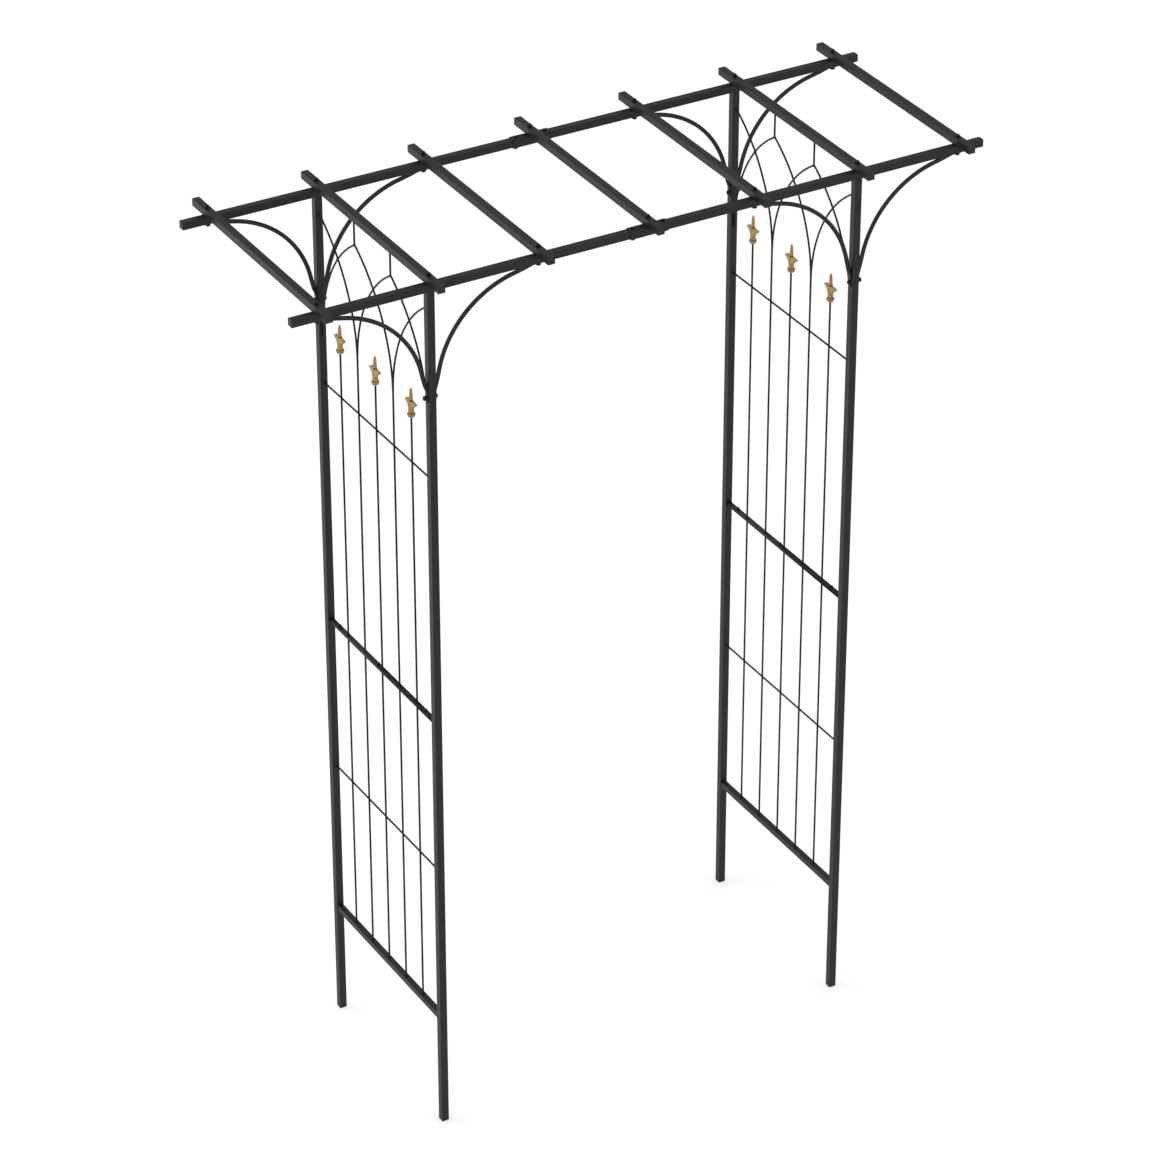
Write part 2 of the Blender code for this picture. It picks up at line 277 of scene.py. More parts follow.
def tube_rings(low, high, axis, radius, lead=0.0003):
    """Rings of a closed square tube between two corners, with a small lead-in at each end."""
    centre = (low + high) / 2
    size = high - low
    width, height = size[(axis + 1) % 3], size[(axis + 2) % 3]
    full = rounded_outline(width, height, radius)
    trimmed = rounded_outline(width - 2 * lead, height - 2 * lead, radius - lead)
    rings = [along_axis(trimmed, axis, centre, low[axis])]
    rings.append(along_axis(full, axis, centre, low[axis] + lead))
    rings.append(along_axis(full, axis, centre, high[axis] - lead))
    rings.append(along_axis(trimmed, axis, centre, high[axis]))
    return rings


def tube_mesh(name, low, high, axis, radius):
    bm = bmesh.new()
    loft(bm, tube_rings(low, high, axis, radius))
    return mesh_from(bm, name)


# ---------------------------------------------------------------- geometry nodes

class Nodes:
    """A node tree that grows by one call a node."""

    def node(self, kind, settings=None, **links):
        """Adds a node. Links are given by the socket's name with spaces as underscores, or as _0, _1."""
        made = self.tree.nodes.new(kind)
        for key, value in (settings or {}).items():
            setattr(made, key, value)
        for key, value in links.items():
            self.feed(made.inputs[int(key[1:])] if key[1:].isdigit()
                else made.inputs[key.replace("_", " ")], value)
        return made

    def feed(self, socket, value):
        value = getattr(value, "socket", value)
        if isinstance(value, bpy.types.NodeSocket):
            self.tree.links.new(value, socket)
        else:
            socket.default_value = value


class NodeTree(Nodes):
    """A geometry tree with named inputs."""

    def __init__(self, name, inputs):
        self.tree = bpy.data.node_groups.new(name, "GeometryNodeTree")
        self.tree.interface.new_socket("Geometry", in_out="INPUT", socket_type="NodeSocketGeometry")
        self.identifiers = {}
        for label, kind in inputs:
            socket = self.tree.interface.new_socket(label, in_out="INPUT", socket_type=kind)
            self.identifiers[label] = socket.identifier
        self.tree.interface.new_socket("Geometry", in_out="OUTPUT", socket_type="NodeSocketGeometry")
        self.inputs = self.tree.nodes.new("NodeGroupInput").outputs

    def finish(self, geometry, material):
        """Every tree ends in Realize Instances and Set Material."""
        real = self.node("GeometryNodeRealizeInstances", Geometry=geometry)
        painted = self.node("GeometryNodeSetMaterial", Geometry=real.outputs[0], Material=material)
        out = self.tree.nodes.new("NodeGroupOutput")
        self.tree.links.new(painted.outputs[0], out.inputs[0])
        return self


def placed(name, data):
    made = bpy.data.objects.new(name, data)
    bpy.context.scene.collection.objects.link(made)
    return made


def finished_mesh(holder):
    """The plain mesh that an object's modifiers make."""
    bpy.context.view_layer.update()
    return bpy.data.meshes.new_from_object(holder.evaluated_get(bpy.context.evaluated_depsgraph_get()))


def run_tree(tree, mesh, values):
    """The mesh that a tree makes from another, with its inputs set by identifier."""
    holder = placed("tree_holder", mesh)
    modifier = holder.modifiers.new("nodes", "NODES")
    modifier.node_group = tree.tree
    for label, value in values.items():
        modifier[tree.identifiers[label]] = value
    result = finished_mesh(holder)
    holder.modifiers.remove(modifier)
    bpy.data.objects.remove(holder, do_unlink=True)
    if not result.polygons:
        raise RuntimeError(f"{tree.tree.name} made no faces")
    return result


def points_mesh(places):
    """A mesh of loose points, each with the direction that it faces."""
    mesh = bpy.data.meshes.new("places")
    mesh.from_pydata([tuple(place) for place, _ in places], [], [])
    facing = mesh.attributes.new("facing", "FLOAT_VECTOR", "POINT")
    facing.data.foreach_set("vector", [value for _, way in places for value in way])
    return mesh


def paths_mesh(paths):
    """A mesh of loose chains of edges."""
    verts, edges = [], []
    for path in paths:
        start = len(verts)
        verts += [tuple(point) for point in path]
        edges += [(start + i, start + i + 1) for i in range(len(path) - 1)]
    mesh = bpy.data.meshes.new("paths")
    mesh.from_pydata(verts, edges, [])
    return mesh


def wire_tree():
    tree = NodeTree("round_wire", (("Diameter", "NodeSocketFloat"), ("Sides", "NodeSocketInt"),
        ("Material", "NodeSocketMaterial")))
    curve = tree.node("GeometryNodeMeshToCurve", Mesh=tree.inputs["Geometry"])
    radius = tree.node("ShaderNodeMath", {"operation": "MULTIPLY"}, _0=tree.inputs["Diameter"], _1=0.5)
    profile = tree.node("GeometryNodeCurvePrimitiveCircle", Resolution=tree.inputs["Sides"],
        Radius=radius.outputs[0])
    skin = tree.node("GeometryNodeCurveToMesh", Curve=curve.outputs[0], Profile_Curve=profile.outputs[0],
        Fill_Caps=True)
    return tree.finish(skin.outputs[0], tree.inputs["Material"])


def fastener_tree():
    """Copies of one fastener on points, each facing its own way and turned at random about its axis."""
    tree = NodeTree("fasteners", (("Fastener", "NodeSocketObject"), ("Seed", "NodeSocketInt"),
        ("Turn", "NodeSocketFloat"), ("Material", "NodeSocketMaterial")))
    points = tree.node("GeometryNodeMeshToPoints", Mesh=tree.inputs["Geometry"])
    facing = tree.node("GeometryNodeInputNamedAttribute", {"data_type": "FLOAT_VECTOR"}, Name="facing")
    aligned = tree.node("FunctionNodeAlignRotationToVector", {"axis": "Z"}, Vector=facing.outputs[0])
    spin = tree.node("FunctionNodeRandomValue", {"data_type": "FLOAT"}, Seed=tree.inputs["Seed"])
    tree.tree.links.new(tree.inputs["Turn"], spin.inputs[3])
    spun = tree.node("FunctionNodeAxisAngleToRotation", Axis=(0, 0, 1), Angle=spin.outputs[1])
    turned = tree.node("FunctionNodeRotateRotation", {"rotation_space": "LOCAL"},
        Rotation=aligned.outputs[0], Rotate_By=spun.outputs[0])
    fastener = tree.node("GeometryNodeObjectInfo", Object=tree.inputs["Fastener"])
    copies = tree.node("GeometryNodeInstanceOnPoints", Points=points.outputs[0],
        Instance=fastener.outputs["Geometry"], Rotation=turned.outputs[0])
    return tree.finish(copies.outputs[0], tree.inputs["Material"])


def fasteners(tree, pattern_mesh, places, seed, turn, material):
    """One mesh of copies of a pattern."""
    pattern = bpy.data.objects.new("pattern", pattern_mesh)
    mesh = run_tree(tree, points_mesh(places),
        {"Fastener": pattern, "Seed": seed, "Turn": turn, "Material": material})
    bpy.data.objects.remove(pattern, do_unlink=True)
    return mesh


def bead_tree():
    """Flattened weld beads on points, lumpy and no two alike."""
    tree = NodeTree("weld_beads", (("Radius", "NodeSocketFloat"), ("Seed", "NodeSocketInt"),
        ("Lumps", "NodeSocketFloat"), ("Material", "NodeSocketMaterial")))
    points = tree.node("GeometryNodeMeshToPoints", Mesh=tree.inputs["Geometry"])
    facing = tree.node("GeometryNodeInputNamedAttribute", {"data_type": "FLOAT_VECTOR"}, Name="facing")
    aligned = tree.node("FunctionNodeAlignRotationToVector", {"axis": "Z"}, Vector=facing.outputs[0])
    ball = tree.node("GeometryNodeMeshIcoSphere", Radius=tree.inputs["Radius"], Subdivisions=3)
    scale = tree.node("FunctionNodeRandomValue", {"data_type": "FLOAT_VECTOR"}, _0=(0.85, 0.85, 0.7),
        _1=(1.15, 1.15, 0.9), Seed=tree.inputs["Seed"])
    copies = tree.node("GeometryNodeInstanceOnPoints", Points=points.outputs[0], Instance=ball.outputs[0],
        Rotation=aligned.outputs[0], Scale=scale.outputs[0])
    real = tree.node("GeometryNodeRealizeInstances", Geometry=copies.outputs[0])
    lumps = tree.node("ShaderNodeTexNoise", {"noise_dimensions": "3D"}, Scale=420.0, Detail=1.0)
    centred = tree.node("ShaderNodeMath", {"operation": "SUBTRACT"}, _0=lumps.outputs[0], _1=0.5)
    amount = tree.node("ShaderNodeMath", {"operation": "MULTIPLY"}, _0=centred.outputs[0],
        _1=tree.inputs["Lumps"])
    normal = tree.node("GeometryNodeInputNormal")
    offset = tree.node("ShaderNodeVectorMath", {"operation": "SCALE"}, _0=normal.outputs[0],
        Scale=amount.outputs[0])
    moved = tree.node("GeometryNodeSetPosition", Geometry=real.outputs[0], Offset=offset.outputs[0])
    return tree.finish(moved.outputs[0], tree.inputs["Material"])


# ---------------------------------------------------------------- shader helpers

class Value:
    """A number socket of a material; arithmetic on it adds Math nodes."""

    def __init__(self, shader, socket):
        self.shader = shader
        self.socket = socket

    def _math(self, operation, first, second=None, clamp=False):
        links = {"_0": first} if second is None else {"_0": first, "_1": second}
        made = self.shader.node("ShaderNodeMath", {"operation": operation, "use_clamp": clamp}, **links)
        return Value(self.shader, made.outputs[0])

    def __add__(self, other):
        return self._math("ADD", self, other)

    def __radd__(self, other):
        return self._math("ADD", other, self)

    def __sub__(self, other):
        return self._math("SUBTRACT", self, other)

    def __rsub__(self, other):
        return self._math("SUBTRACT", other, self)

    def __mul__(self, other):
        return self._math("MULTIPLY", self, other)

    def __rmul__(self, other):
        return self._math("MULTIPLY", other, self)

    def clamped(self):
        return self._math("ADD", self, 0.0, clamp=True)


class Shader(Nodes):
    """A node material with one Principled surface."""

    def __init__(self, name):
        self.material = bpy.data.materials.new(name)
        self.material.use_nodes = True
        self.tree = self.material.node_tree
        self.surface = self.tree.nodes["Principled BSDF"]
        self.place = self.node("ShaderNodeTexCoord").outputs["Object"]

    def noise(self, scale, detail=2.0, roughness=0.5, distortion=0.0):
        made = self.node("ShaderNodeTexNoise", Vector=self.place, Scale=scale, Detail=detail,
            Roughness=roughness, Distortion=distortion)
        return Value(self, made.outputs[0])

    def attribute(self, name):
        made = self.node("ShaderNodeAttribute", {"attribute_name": name})
        return Value(self, made.outputs["Fac"])

    def ramp(self, value, low, high):
        """0 below low and 1 above high, with a smooth step between."""
        made = self.node("ShaderNodeMapRange", {"interpolation_type": "SMOOTHSTEP"}, Value=value,
            From_Min=low, From_Max=high)
        return Value(self, made.outputs[0])

    def mix(self, factor, first, second):
        made = self.node("ShaderNodeMix", {"data_type": "RGBA"}, Factor=factor, _6=first, _7=second)
        return made.outputs[2]

    def bump(self, height, distance, strength=1.0, under=None):
        made = self.node("ShaderNodeBump", Strength=strength, Distance=distance, Height=height)
        if under is not None:
            self.feed(made.inputs["Normal"], under)
        return made.outputs[0]

    def set(self, **values):
        """Feeds the surface's own sockets, named with spaces as underscores."""
        for key, value in values.items():
            self.feed(self.surface.inputs[key.replace("_", " ")], value)
        return self.material


def colour(value):
    return tuple(value)


TUBE_GLOSS, WIRE_GLOSS = 0.30, 0.17
FLOOR_GLOW = 0.46                   # light of the floor's own, so that it holds little shadow


def powder_coat(settings, name, gloss):
    """Satin black powder coat: a fine orange-peel skin, mottled in depth and slightly uneven in gloss."""
    shader = Shader(name)
    mottle = shader.noise(170.0, 3.0, 0.6)
    cloud = shader.noise(9.0, 3.0)
    grain = shader.noise(2600.0, 1.0)
    peel = shader.noise(620.0, 2.0, 0.45)
    thin = (shader.ramp(cloud, 0.35, 0.75) * 0.3 + shader.ramp(mottle, 0.38, 0.62) * 0.5 + grain
        * 0.2).clamped()
    roughness = 0.40 + cloud * 0.08 + grain * 0.10
    skin = shader.bump(peel, 0.00022, 0.55)
    skin = shader.bump(grain, 0.00006, 0.5, skin)
    base = shader.mix(thin, colour(settings.black), colour(settings.black_thin))
    return shader.set(Base_Color=base, Roughness=roughness, Normal=skin, Specular_IOR_Level=gloss)


def blackened_steel(settings):
    """Coated fasteners: a little glossier and greyer than the tube."""
    shader = Shader("blackened_fastener_steel")
    cloud = shader.noise(160.0, 3.0)
    grain = shader.noise(1800.0, 1.0)
    roughness = 0.34 + cloud * 0.14
    skin = shader.bump(grain, 0.00005, 0.5)
    base = shader.mix(cloud, (0.0022, 0.0022, 0.0022, 1.0), colour(settings.black))
    return shader.set(Base_Color=base, Roughness=roughness, Normal=skin, Specular_IOR_Level=0.2)


def plug_plastic(settings):
    """Moulded black plastic with a fine spark-eroded grain."""
    shader = Shader("moulded_black_plastic")
    cloud = shader.noise(60.0, 2.0)
    grain = shader.noise(1500.0, 2.0)
    base = shader.mix(cloud, colour(settings.plastic), (0.0050, 0.0050, 0.0050, 1.0))
    return shader.set(Base_Color=base, Roughness=0.5 + grain * 0.16, Specular_IOR_Level=0.42,
        Normal=shader.bump(grain, 0.00008, 0.6))


def antique_gold(settings):
    """Gold paint on a casting, rubbed bright on what stands out and brown in the hollows."""
    shader = Shader("antique_gold_casting")
    hollow = shader.attribute("hollow")
    cloud = shader.noise(95.0, 4.0, 0.6)
    pits = shader.noise(900.0, 3.0, 0.6)
    streaks = shader.noise(260.0, 2.0, 0.5, 0.4)
    dirt = (shader.ramp(hollow, 0.51, 0.76) + shader.ramp(cloud, 0.52, 0.85) * 0.35).clamped()
    worn = shader.mix(streaks * 0.6, colour(settings.gold), (0.43, 0.285, 0.112, 1.0))
    base = shader.mix(dirt, worn, colour(settings.patina))
    skin = shader.bump(pits, 0.00018, 0.5)
    skin = shader.bump(cloud, 0.0005, 0.35, skin)
    return shader.set(Base_Color=base, Metallic=0.45 - dirt * 0.3, Roughness=0.46 + dirt * 0.2 + pits * 0.12,
        Normal=skin)


def pale_floor():
    shader = Shader("pale_studio_floor")
    cloud = shader.noise(1.3, 2.0)
    base = shader.mix(cloud, (0.50, 0.50, 0.50, 1.0), (0.54, 0.54, 0.54, 1.0))
    return shader.set(Base_Color=base, Roughness=0.85, Specular_IOR_Level=0.1,
        Emission_Color=(1.0, 1.0, 1.0, 1.0), Emission_Strength=FLOOR_GLOW)


def material_named(name, maker, *values):
    return bpy.data.materials.get(name) or maker(*values)


def coat():
    name = "satin_black_powder_coat"
    return material_named(name, powder_coat, bpy.context.scene.arch_coats, name, TUBE_GLOSS)


def wire_coat():
    name = "dull_black_wire_coat"
    return material_named(name, powder_coat, bpy.context.scene.arch_coats, name, WIRE_GLOSS)


def fastener_steel():
    return material_named("blackened_fastener_steel", blackened_steel, bpy.context.scene.arch_coats)


# ---------------------------------------------------------------- tubes

def plugged_ends(name):
    """Which ends of a tube show and are closed with a plug: pairs of axis and direction."""
    if name in POSTS:
        return [(2, -1)]
    if name in RAFTERS:
        return [(1, -1), (1, 1)]
    if name in BEAMS:
        return [(0, 1 if middle_of(name).x > 0 else -1)]
    return []


def shortened(name, amount):
    """The tube's corners with room left for its plugs."""
    low, high = box_of(name)
    for axis, way in plugged_ends(name):
        if way > 0:
            high[axis] -= amount
        else:
            low[axis] += amount
    return low, high


class ARCH_OT_tubes(bpy.types.Operator):
    """Makes the posts, beams, rafters and bottom rails as rounded square tube"""
    bl_idname = "arch.tubes"
    bl_label = "Square Tubes"

    def execute(self, context):
        settings = context.scene.arch_tubes
        for axis, names in ((2, POSTS), (0, BEAMS), (1, RAFTERS), (1, BOTTOM_RAILS)):
            for name in names:
                low, high = shortened(name, settings.plug_thickness)
                mesh = tube_mesh(name, low, high, axis, settings.corner_radius)
                add_piece(f"{name}_tube", mesh, coat(), (name,))
        return {"FINISHED"}


class ARCH_OT_sleeves(bpy.types.Operator):
    """Makes the hollow sleeves that join the beam halves"""
    bl_idname = "arch.sleeves"
    bl_label = "Beam Sleeves"

    def execute(self, context):
        settings = context.scene.arch_tubes
        lead = settings.sleeve_wall * 0.3
        for name in SLEEVES:
            low, high = box_of(name)
            wall = Vector((0, settings.sleeve_wall, settings.sleeve_wall))
            outer = tube_rings(low, high, 0, settings.corner_radius + settings.sleeve_wall, lead)
            inner = tube_rings(low + wall, high - wall, 0, settings.corner_radius, lead)
            bm = bmesh.new()
            skin = loft(bm, outer, capped=False)
            bore = loft(bm, [inner[1], inner[2]], capped=False)
            for ring, distance in ((bore[0], low.x), (bore[1], high.x)):
                for vert in ring:
                    vert.co.x = distance
            bridge(bm, skin[0], bore[0])
            bridge(bm, skin[-1], bore[1])
            add_piece(f"{name}_shell", mesh_from(bm, name), coat(), (name,))
        return {"FINISHED"}


def plug_mesh(side, settings):
    """One end plug facing +Z: a thin flange with a softened edge and a shallow dome."""
    width = side - 2 * settings.plug_margin
    thick = settings.plug_thickness
    bm = bmesh.new()
    rings = []
    for inset, height in ((0.0, -0.2), (0.0, 0.65), (0.0001, 0.86), (0.0003, 0.97), (0.0006, 1.0),
            (0.006, 1.0)):
        outline = rounded_outline(width - 2 * inset, width - 2 * inset, max(0.0003, 0.001 - inset))
        rings.append([(u, v, height * thick) for u, v in outline])
    loft(bm, rings)
    return mesh_from(bm, "end_plug")


class ARCH_OT_plugs(bpy.types.Operator):
    """Closes the open ends of the tubes with plastic plugs"""
    bl_idname = "arch.plugs"
    bl_label = "End Plugs"

    def execute(self, context):
        settings = context.scene.arch_tubes
        places = []
        for name in POSTS + BEAMS + RAFTERS:
            low, high = shortened(name, settings.plug_thickness)
            for axis, way in plugged_ends(name):
                place = (low + high) / 2
                place[axis] = high[axis] if way > 0 else low[axis]
                facing = Vector((0, 0, 0))
                facing[axis] = way
                places.append((place, facing))
        plastic = material_named("moulded_black_plastic", plug_plastic, context.scene.arch_coats)
        mesh = fasteners(fastener_tree(), plug_mesh(POST_SIDE, settings), places, 1, 0.0, plastic)
        add_piece("end_plugs", mesh, plastic)
        return {"FINISHED"}


# ---------------------------------------------------------------- braces

TAB_HALF = 0.0125                   # flat end either side of its bolt
ARC_MARGIN = math.radians(12)       # of the quarter turn, left to the run-in at each end
RUN_IN_PULL, TAB_PULL = 0.4, 0.3    # how far the run-in keeps the arc's direction, and the tab's share of it
RUN_IN_STEPS, ARC_STEPS = 8, 26


def brace_path(settings):
    """Places, directions and sections of a brace: away from the post, and down from the beam.

    Beside the post the bar is as deep as the room between them, so its inner face lies on the post.
    """
    bolt = settings.bolt_distance
    line = CLEARANCE + settings.tab_thickness / 2
    centre = bolt - settings.setback
    radius = centre - settings.standoff
    stations = []

    def arc(angle):
        place = Vector((centre - radius * math.cos(angle), centre - radius * math.sin(angle)))
        return place, Vector((math.sin(angle), -math.cos(angle)))

    tab_radius = settings.tab_width / 2
    for share in (0.02, 0.12, 0.3, 0.6, 1.0):
        reach = share * tab_radius
        width = 2 * math.sqrt(max(0.0, tab_radius ** 2 - (tab_radius - reach) ** 2))
        stations.append((Vector((line, bolt + TAB_HALF - reach)), Vector((0, -1)),
            settings.tab_thickness, max(width, 0.003)))
    tab_end = Vector((line, bolt - TAB_HALF))
    arc_start, arc_way = arc(ARC_MARGIN)
    pull = (arc_start - tab_end).length * RUN_IN_PULL
    for step in range(RUN_IN_STEPS + 1):
        t = step / RUN_IN_STEPS
        first, second = tab_end + Vector((0, -TAB_PULL * pull)), arc_start - arc_way * pull
        place = ((1 - t) ** 3 * tab_end + 3 * (1 - t) ** 2 * t * first
            + 3 * (1 - t) * t ** 2 * second + t ** 3 * arc_start)
        way = (3 * (1 - t) ** 2 * (first - tab_end) + 6 * (1 - t) * t * (second - first)
            + 3 * t ** 2 * (arc_start - second)).normalized()
        room = 2 * (place.x - CLEARANCE)
        depth = min(settings.depth, max(settings.tab_thickness, room))
        blend = (depth - settings.tab_thickness) / (settings.depth - settings.tab_thickness)
        stations.append((place, way, depth, settings.tab_width + (settings.width - settings.tab_width)
            * blend))
    for step in range(1, ARC_STEPS // 2 + 1):
        place, way = arc(ARC_MARGIN + (math.pi / 2 - 2 * ARC_MARGIN) * step / ARC_STEPS)
        stations.append((place, way, settings.depth, settings.width))
    mirrored = [(Vector((place.y, place.x)), Vector((-way.y, -way.x)), depth, width)
        for place, way, depth, width in reversed(stations[:-1])]
    return stations + mirrored


def brace_rings(settings, post, beam_bottom, way_out):
    """Rings of one brace in the arch's own frame."""
    rings = []
    for place, way, depth, width in brace_path(settings):
        across = Vector((way.y, -way.x))
        radius = min(settings.edge, depth * 0.42, width * 0.42)
        ring = []
        for u, v in rounded_outline(depth, width, radius, 3):
            corner = place + across * u
            ring.append((post.x + way_out * (POST_SIDE / 2 + corner.x), post.y + v, beam_bottom - corner.y))
        rings.append(ring)
    return rings


class ARCH_OT_braces(bpy.types.Operator):
    """Makes the curved braces with their flattened, rounded ends"""
    bl_idname = "arch.braces"
    bl_label = "Curved Braces"

    def execute(self, context):
        settings = context.scene.arch_braces
        beam_bottom = box_of(BEAMS[0])[0].z
        for name in BRACES:
            centre = middle_of(name)
            post = min((middle_of(post) for post in POSTS), key=lambda p: (p.xy - centre.xy).length)
            bm = bmesh.new()
            loft(bm, brace_rings(settings, post, beam_bottom, math.copysign(1, centre.x - post.x)))
            add_piece(f"{name}_bar", mesh_from(bm, name), coat(), (name,), 40.0)
        return {"FINISHED"}


# ---------------------------------------------------------------- side panels

UPRIGHT_LAP = 0.018         # how far an upright runs up between the feet of the arches
FINIAL_SEAT = 0.004         # how far a wire runs up into its finial
FEET_PART = 0.044           # where the arches' feet part, above where they spring
MIDDLE_BOLT = 0.019         # of the middle rail, off the panel's middle


class Panel:
    """Where the wires of one side panel run, worked out from the posts, the rail and the settings."""

    def __init__(self, side, settings):
        self.settings = settings
        self.rail = box_of(f"bottom_rail_{side}")
        self.x = middle_of(f"bottom_rail_{side}").x
        self.half = self.rail[1].y
        self.inner = abs(middle_of(POSTS[0]).y) - POST_SIDE / 2
        self.pitch = 2 * self.inner / settings.bays
        self.lower = box_of(f"wire_panel_lower_{side}")
        self.upper = box_of(f"wire_panel_upper_{side}")
        self.peak = POST_TOP - settings.peak_drop
        self.low_wire = (self.rail[0].z + self.rail[1].z) / 2 + settings.low_wire_rise
        self.high_wire = POST_TOP - settings.high_wire_drop
        self.uprights = [step * self.pitch for step in range(1 - settings.bays // 2, settings.bays // 2)]
        self.cross_x = self.x + settings.diameter - settings.weld_sink
        self.finial_base = box_of(f"finial_{side}_middle")[0].z

    def spring(self):
        span = 2 * self.pitch
        return self.peak - math.sqrt(2 * self.settings.arch_radius * span - span ** 2)

    def arch(self, start, end, steps=30):
        """An arc that leaves its foot upright and reaches the common peak height."""
        radius = self.settings.arch_radius
        span = abs(end - start)
        rise = math.sqrt(2 * radius * span - span ** 2)
        last = math.acos(1 - span / radius)
        way = math.copysign(1, end - start)
        points = []
        for step in range(steps + 1):
            angle = last * step / steps
            opening = smooth(angle, 0.0, 0.25)
            points.append((self.x + way * opening * self.settings.weave / 2,
                start + way * radius * (1 - math.cos(angle)), self.peak - rise + radius * math.sin(angle)))
        return points

    def arches(self):
        at_post = self.half - self.settings.diameter / 2
        runs = []
        for way in (1, -1):
            at_wire = way * self.pitch
            runs += [(way * at_post, at_wire), (-at_wire, at_wire), (at_wire, way * at_post)]
        return [self.arch(start, end) for start, end in runs]

    def crossing_height(self, distance):
        """Height of an arc at a distance from its foot."""
        radius = self.settings.arch_radius
        span = 2 * self.pitch
        rise = math.sqrt(2 * radius * span - span ** 2)
        return self.peak - rise + math.sqrt(2 * radius * distance - distance ** 2)

    def lower_wires(self):
        top = self.lower[1].z - self.settings.bar_height / 2
        paths = [[(self.x, y, self.rail[1].z), (self.x, y, top)] for y in self.uprights]
        paths.append([(self.cross_x, -self.half, self.low_wire), (self.cross_x, self.half, self.low_wire)])
        return paths

    def upper_wires(self):
        bottom = self.upper[0].z + self.settings.bar_height / 2
        paths = []
        for number, y in enumerate(self.uprights):
            top = self.spring() + UPRIGHT_LAP if number % 2 else self.finial_base + FINIAL_SEAT
            paths.append([(self.x, y, bottom), (self.x, y, top)])
        paths.append([(self.cross_x, -self.half, self.high_wire),
            (self.cross_x, self.half, self.high_wire)])
        for y in (-self.pitch, self.pitch):
            paths.append([(self.x, y, self.peak - self.settings.diameter * 0.3),
                (self.x, y, self.upper[1].z)])
        return paths + self.arches()

    def beads(self):
        """Every weld of the panel, with the direction that its bead faces."""
        out = Vector((1, 0, 0))
        up = Vector((0, 0, 1))
        beads = []

        def bead(y, z, way):
            beads.append((Vector((self.x, y, z)), way))

        for z in (self.low_wire, self.high_wire):
            beads += [(Vector((self.x + self.settings.diameter * 0.35, y, z)), out) for y in self.uprights]
            beads += [(Vector((self.cross_x, way * (self.half - 0.0006), z)), Vector((0, -way, 0)))
                for way in (-1, 1)]
        for y in self.uprights:
            for z, way in ((self.rail[1].z, up), (self.lower[1].z - self.settings.bar_height, -up),
                    (self.upper[0].z + self.settings.bar_height, up)):
                bead(y, z, way)
        for way in (-1, 1):
            y = way * self.pitch
            bead(y, self.peak, out)
            bead(y, self.spring() + FEET_PART, out)
            bead(y, self.upper[1].z, -up)
            bead(way * (self.half - 0.0012), self.peak - 0.0005, Vector((0, -way, 0)))
            bead(way * (self.half - 0.001), self.spring() + 0.002, Vector((0, -way, 0)))
        for y in self.uprights[::2]:
            bead(y, self.crossing_height(self.pitch), out)
        return beads

    def bar(self, low, high):
        """One flat bar of the middle rail."""
        bm = bmesh.new()
        loft(bm, tube_rings(low, high, 1, 0.0009, 0.0003))
        return mesh_from(bm, "bar")


def smooth(value, low, high):
    t = min(1.0, max(0.0, (value - low) / (high - low)))
    return t * t * (3 - 2 * t)


def joined(meshes, name):
    bm = bmesh.new()
    for mesh in meshes:
        bm.from_mesh(mesh)
    result = bpy.data.meshes.new(name)
    bm.to_mesh(result)
    bm.free()
    return result


class ARCH_OT_panels(bpy.types.Operator):
    """Makes the wire side panels with their interlaced arches and middle rails"""
    bl_idname = "arch.panels"
    bl_label = "Wire Panels"

    def execute(self, context):
        settings = context.scene.arch_wires
        wires = wire_tree()
        for side in ("left", "right"):
            panel = Panel(side, settings)
            bar = Vector((0, 0, settings.bar_height))
            low, high = panel.lower
            lower_bar = panel.bar(Vector((low.x, low.y, high.z)) - bar, high)
            low, high = panel.upper
            upper_bar = panel.bar(low, Vector((high.x, high.y, low.z)) + bar)
            for level, paths, flat in (("lower", panel.lower_wires(), lower_bar),
                    ("upper", panel.upper_wires(), upper_bar)):
                rods = run_tree(wires, paths_mesh(paths),
                    {"Diameter": settings.diameter, "Sides": settings.sides, "Material": wire_coat()})
                mesh = joined((rods, flat), f"wire_panel_{level}_{side}")
                add_piece(f"wire_panel_{level}_{side}_rods", mesh, wire_coat(),
                    (f"wire_panel_{level}_{side}",), 50.0)
        return {"FINISHED"}


class ARCH_OT_welds(bpy.types.Operator):
    """Lays a weld bead at every joint of the wires"""
    bl_idname = "arch.welds"
    bl_label = "Weld Beads"

    def execute(self, context):
        settings = context.scene.arch_wires
        beads = bead_tree()
        for seed, side in enumerate(("left", "right"), start=3):
            mesh = run_tree(beads, points_mesh(Panel(side, settings).beads()),
                {"Radius": settings.bead, "Seed": seed, "Lumps": settings.bead * 0.5,
                "Material": wire_coat()})
            add_piece(f"weld_beads_{side}", mesh, wire_coat(), (), 180.0)
        return {"FINISHED"}


# ---------------------------------------------------------------- bolts

